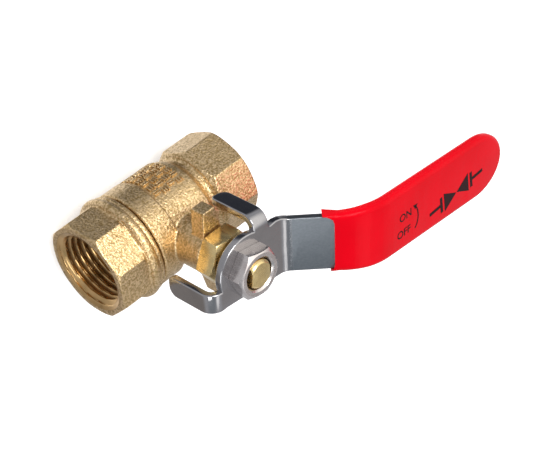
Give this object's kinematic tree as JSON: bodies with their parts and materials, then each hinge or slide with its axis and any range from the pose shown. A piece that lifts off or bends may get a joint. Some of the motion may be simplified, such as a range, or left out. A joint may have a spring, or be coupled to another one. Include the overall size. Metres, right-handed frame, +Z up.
{
  "type": "ball valve",
  "caption": "Brass ball valve with female threaded ends and a cranked steel lever in a vinyl grip, which turns the ball a quarter turn.",
  "frame": {"origin": "centre of the ball, where the flow axis and the stem axis cross", "axes": "+X along the flow axis from the end connector to the body's own mouth, which is also the way the open lever points; +Z up the stem; +Y towards the stop lug that both limits use"},
  "size_m": [0.1063, 0.0332, 0.0609],
  "materials": {
    "body_brass": "shot-blasted forging",
    "machined_brass": "turned",
    "ptfe": "moulded white PTFE",
    "chrome_ball": "polished plating",
    "chrome_steel": "bright zinc plating, brushed along the crank",
    "nickel_steel": "bright nickel plating",
    "red_vinyl": "glossy dipped vinyl"
  },
  "bodies": {
    "housing": {"valve_body": "body_brass", "end_connector": "body_brass", "joint_seal": "ptfe", "seat_near": "ptfe", "seat_far": "ptfe", "thrust_washer": "ptfe", "packing_lower": "ptfe", "packing_upper": "ptfe", "gland_follower": "machined_brass", "gland_nut": "machined_brass"},
    "handle": {"stem": "machined_brass", "lever": "chrome_steel", "grip_sleeve": "red_vinyl", "handle_nut": "nickel_steel"},
    "ball": {"ball": "chrome_ball"}
  },
  "joints": [
    {"name": "handle_turn", "type": "hinge", "parent": "housing", "child": "handle", "pos_m": [0, 0, 0.0308], "axis": [0, 0, 1], "range_deg": [-82, 8]},
    {"name": "ball_turn", "type": "hinge", "parent": "housing", "child": "ball", "pos_m": [0, 0, 0], "axis": [0, 0, 1], "range_deg": [-82, 8]}
  ],
  "couplings": [
    {"joint": "ball_turn", "follows": "handle_turn", "ratio": 1}
  ]
}
